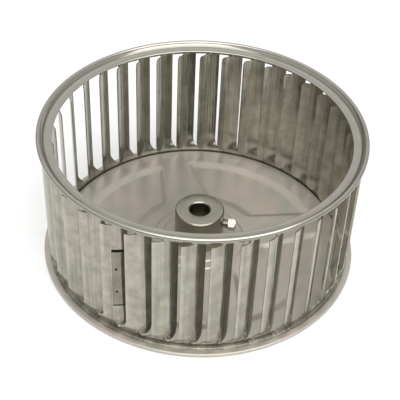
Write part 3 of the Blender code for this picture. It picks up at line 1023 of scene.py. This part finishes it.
# %% Turn the hub
BORE_RADIUS = 7.94 * MM
STAKE_RADIUS = 15.6 * MM
STAKE_DEPTH = 1.3 * MM
HUB_CHAMFER = 0.85 * MM
EDGE = 0.12 * MM                 # what a deburring tool leaves on a turned edge
HUB_STEPS = 160
HUB_SHARP_DEGREES = 20.0
DRILL_MIDDLE = 14 * MM           # distance of the drilling bar's middle from the wheel's axis
DRILL_LENGTH = 20 * MM
SCREW_RADIUS = 3.9 * MM
SCREW_HOLE_RADIUS = 4.0 * MM
SCREW_HEIGHT = 20.6 * MM
SCREW_ANGLE = math.radians(-5.0)


def on_screw_axis(shape):
    """Lay a shape that was made along +X on the axis of the set screw."""
    turn = Matrix.Translation((0, 0, SCREW_HEIGHT)) @ Matrix.Rotation(SCREW_ANGLE, 4, "Z")
    bmesh.ops.transform(shape, matrix=turn, verts=shape.verts)


def turned_hub():
    seat = RING_LEVEL + 2 * STEP_RISE + CLEARANCE
    stake_top = seat - 2 * CLEARANCE - PLATE_SHEET
    spigot = SPIGOT_RADIUS - CLEARANCE
    corners = [
        (BORE_RADIUS, stake_top - STAKE_DEPTH, EDGE), (STAKE_RADIUS, stake_top - STAKE_DEPTH, EDGE),
        (STAKE_RADIUS, stake_top, EDGE), (spigot, stake_top, 0), (spigot, seat, 0),
        (HUB_RADIUS, seat, EDGE), (HUB_RADIUS, HUB_TOP - HUB_CHAMFER, EDGE),
        (HUB_RADIUS - HUB_CHAMFER, HUB_TOP, EDGE), (BORE_RADIUS + HUB_CHAMFER, HUB_TOP, EDGE),
        (BORE_RADIUS, HUB_TOP - HUB_CHAMFER, EDGE)]
    outline = rounded_line(corners, closed=True, steps=2)
    hub = make_piece(carried_round(outline, HUB_STEPS, closed=True), "hub_turned", hub_finish,
                     HUB_SHARP_DEGREES)
    bar = bmesh.new()
    across = Matrix.Translation((DRILL_MIDDLE, 0, 0)) @ Matrix.Rotation(math.pi / 2, 4, "Y")
    bmesh.ops.create_cone(bar, cap_ends=True, segments=48, radius1=SCREW_HOLE_RADIUS,
                          radius2=SCREW_HOLE_RADIUS, depth=DRILL_LENGTH, matrix=across)
    on_screw_axis(bar)
    drill = make_piece(bar, "drill", hub_finish)
    cut = hub.modifiers.new("screw hole", "BOOLEAN")
    cut.operation = "DIFFERENCE"
    cut.object = drill
    bake_modifiers(hub)
    bpy.data.objects.remove(drill)
    smooth_with_edges(hub.data, HUB_SHARP_DEGREES)
    return hub


hub = turned_hub()
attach(hub, "wheel")
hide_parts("hub")
print("hub:", triangles(hub), "triangles")

# %% [markdown]
# ## The set screw
#
# A square-head set screw of 5/16 inch, 18 threads to the inch, stands backed out of the hub,
# so three turns of its thread show. The thread is a cylinder whose radius rises and falls with
# the distance along it less the angle round it, which is what a helix is. The head is the same
# kind of loft: each station has a length, a reach, and says whether it is square there. It
# rides on its own body, because it is the one thing on the wheel that a wrench moves.

# %% Cut the thread and forge the head
THREAD_PITCH = 25.4 / 18 * MM
THREAD_DEPTH = 0.62 * MM
SCREW_TIP = 9.4 * MM
HEAD_START = 23.0 * MM
HEAD_LENGTH = 6.0 * MM
HEAD_FLATS = 8.0 * MM
HEAD_ROLL = math.radians(28.0)
SCREW_SIDES = 48


def thread_reach(along, angle):
    """Radius of the thread: a rounded V that climbs one pitch in each turn."""
    phase = (along / THREAD_PITCH - angle / math.tau) % 1.0
    flank = min(1.0, abs(2 * phase - 1) * 1.25)
    return SCREW_RADIUS - THREAD_DEPTH * (1 - flank) ** 0.8


def head_reach(angle, round_limit):
    """Distance to a square's side, with its corners taken off at round_limit."""
    flat = max(abs(math.cos(angle)), abs(math.sin(angle)))
    return min(HEAD_FLATS / 2 / flat, round_limit)


def set_screw():
    shape = bmesh.new()
    loops = []
    head_end = HEAD_START + HEAD_LENGTH
    thread_rows = spread(SCREW_TIP + 0.6 * MM, HEAD_START, 84)
    stations = [(SCREW_TIP, 0.78)] + [(along, 1.0) for along in thread_rows]
    for along, share in stations:
        loops.append([(along, share * thread_reach(along, math.tau * i / SCREW_SIDES), i)
                      for i in range(SCREW_SIDES)])
    corner = HEAD_FLATS / 2 * 1.33
    for along, limit in [(HEAD_START, corner * 0.96), (HEAD_START + 0.25 * MM, corner),
                         (head_end - 1.0 * MM, corner), (head_end - 0.5 * MM, corner * 0.86),
                         (head_end - 0.12 * MM, corner * 0.74), (head_end, corner * 0.66)]:
        loops.append([(along, head_reach(math.tau * i / SCREW_SIDES, limit), i)
                      for i in range(SCREW_SIDES)])
    rings = []
    for loop in loops:
        ring = []
        for along, reach, i in loop:
            angle = math.tau * i / SCREW_SIDES + HEAD_ROLL
            ring.append(shape.verts.new((along, reach * math.cos(angle), reach * math.sin(angle))))
        rings.append(ring)
    for lower, upper in zip(rings, rings[1:]):
        for i in range(SCREW_SIDES):
            j = (i + 1) % SCREW_SIDES
            shape.faces.new((lower[i], lower[j], upper[j], upper[i]))
    shape.faces.new(rings[0])
    shape.faces.new(rings[-1])
    on_screw_axis(shape)
    return make_piece(shape, "set_screw_square_head", screw_finish, 30.0)


screw = set_screw()
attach(screw, "set_screw")
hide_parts("set_screw")
print("screw:", triangles(screw), "triangles")

# %% [markdown]
# ## Floor, surroundings and light
#
# Bare metal shows what is around it, so the surroundings are as much a part of its look as its
# own colour. The wheel stands on a white table that is lit a little from within, in a white
# tent that is brighter overhead than at the horizon. One large soft panel hangs above it, in
# front and a little to the right. The panel is what the bead, the chamfers and the screw head
# pick up as highlights. The standard view transform keeps white as white.

# %% Set the stage
HORIZON_LIGHT = 0.42
ZENITH_LIGHT = 1.0
TABLE_GLOW = 0.17
PANEL_SIZE = 1.5
PANEL_PLACE = Vector((0.22, -0.60, 1.05))
PANEL_WATTS = 13.0


def make_floor():
    shape = bmesh.new()
    bmesh.ops.create_grid(shape, x_segments=1, y_segments=1, size=3.0,
                          matrix=Matrix.Translation((0, 0, -0.1 * MM)))
    paper = bpy.data.materials.new("white_floor")
    paper.use_nodes = True
    shader = paper.node_tree.nodes["Principled BSDF"]
    shader.inputs["Base Color"].default_value = linear("ECECEB")
    shader.inputs["Roughness"].default_value = 0.9
    shader.inputs["Emission Color"].default_value = linear("FFFFFF")
    shader.inputs["Emission Strength"].default_value = TABLE_GLOW
    return make_piece(shape, "floor", paper)


def make_tent():
    """A world that brightens from the horizon to the zenith."""
    world = bpy.data.worlds.new("light_tent")
    world.use_nodes = True
    tree = world.node_tree
    direction = add_node(tree, "ShaderNodeTexCoord").outputs["Generated"]
    height = add_node(tree, "ShaderNodeSeparateXYZ", {0: direction}).outputs["Z"]
    glow = add_node(tree, "ShaderNodeMapRange", {
        "Value": height, "From Min": 0.0, "From Max": 1.0,
        "To Min": HORIZON_LIGHT, "To Max": ZENITH_LIGHT}).outputs[0]
    sky = tree.nodes["Background"]
    sky.inputs["Color"].default_value = linear("FFFFFF")
    tree.links.new(glow, sky.inputs["Strength"])
    bpy.context.scene.world = world


def make_panel():
    """A square soft panel that faces the wheel from above."""
    panel = bpy.data.lights.new("overhead_panel", "AREA")
    panel.shape = "SQUARE"
    panel.size = PANEL_SIZE
    panel.energy = PANEL_WATTS
    lamp = bpy.data.objects.new("overhead_panel", panel)
    lamp.location = PANEL_PLACE
    lamp.rotation_euler = PANEL_PLACE.to_track_quat("Z", "Y").to_euler()
    bpy.context.scene.collection.objects.link(lamp)


floor = make_floor()
make_tent()
make_panel()
bpy.context.scene.view_settings.view_transform = "Standard"
